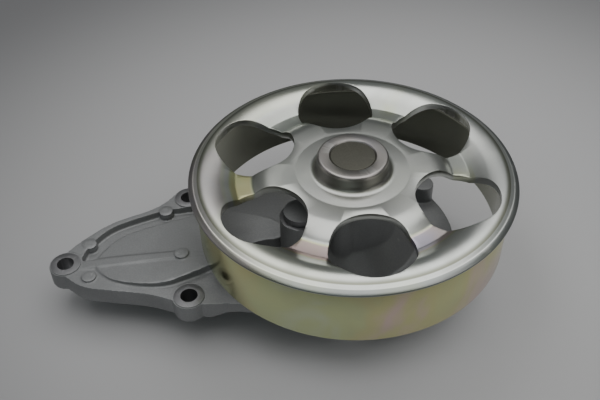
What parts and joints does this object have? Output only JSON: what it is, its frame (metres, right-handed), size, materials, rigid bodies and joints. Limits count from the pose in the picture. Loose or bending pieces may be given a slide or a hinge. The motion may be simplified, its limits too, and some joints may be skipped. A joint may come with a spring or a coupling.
{
  "type": "water pump",
  "caption": "Engine coolant pump: cast body with a long bolted lobe, bearing tower, rear impeller and a smooth back-drive belt pulley with round access windows.",
  "frame": {"origin": "pump shaft axis at the plane of the casting's mounting face", "axes": "+Z along the shaft from the impeller to the pulley, -X towards the tip of the long lobe"},
  "size_m": [0.1814, 0.124, 0.0626],
  "materials": {
    "cast_aluminium": "die cast, matte",
    "plated_steel": "zinc plated, yellow iridescent passivation",
    "shaft_steel": "ground, dull end face",
    "bearing_steel": "ground",
    "cage_polymer": "moulded",
    "seal_rubber": "moulded",
    "zinc_sheet": "zinc plated sheet",
    "seal_case_brass": "drawn sheet",
    "spring_steel": "stainless",
    "carbon": "lapped graphite",
    "ceramic": "ground ceramic",
    "impeller_steel": "stainless, satin",
    "gasket_rubber": "moulded"
  },
  "bodies": {
    "housing": {"pump_body": "cast_aluminium", "bearing_outer_ring": "bearing_steel", "front_bearing_seal": "seal_rubber", "rear_bearing_seal": "seal_rubber", "seal_case": "seal_case_brass", "seal_bellows": "seal_rubber", "seal_spring": "spring_steel", "carbon_ring": "carbon", "carbon_shell": "spring_steel", "body_gasket": "gasket_rubber", "reservoir_plug": "zinc_sheet"},
    "rotor": {"shaft": "shaft_steel", "pulley": "plated_steel", "impeller": "impeller_steel", "slinger": "zinc_sheet", "ceramic_seat": "ceramic", "seat_cup": "seal_rubber"},
    "ball_row": {"ball_set": "bearing_steel", "ball_cage": "cage_polymer"},
    "roller_row": {"roller_set": "bearing_steel", "roller_cage": "cage_polymer"}
  },
  "joints": [
    {"name": "rotor_spin", "type": "hinge", "parent": "housing", "child": "rotor", "pos_m": [0, 0, 0.02], "axis": [0, 0, 1], "continuous": true},
    {"name": "ball_row_spin", "type": "hinge", "parent": "housing", "child": "ball_row", "pos_m": [0, 0, 0.0165], "axis": [0, 0, 1], "continuous": true},
    {"name": "roller_row_spin", "type": "hinge", "parent": "housing", "child": "roller_row", "pos_m": [0, 0, 0.0282], "axis": [0, 0, 1], "continuous": true}
  ],
  "couplings": [
    {"joint": "ball_row_spin", "follows": "rotor_spin", "ratio": 0.3714},
    {"joint": "roller_row_spin", "follows": "rotor_spin", "ratio": 0.3869}
  ]
}
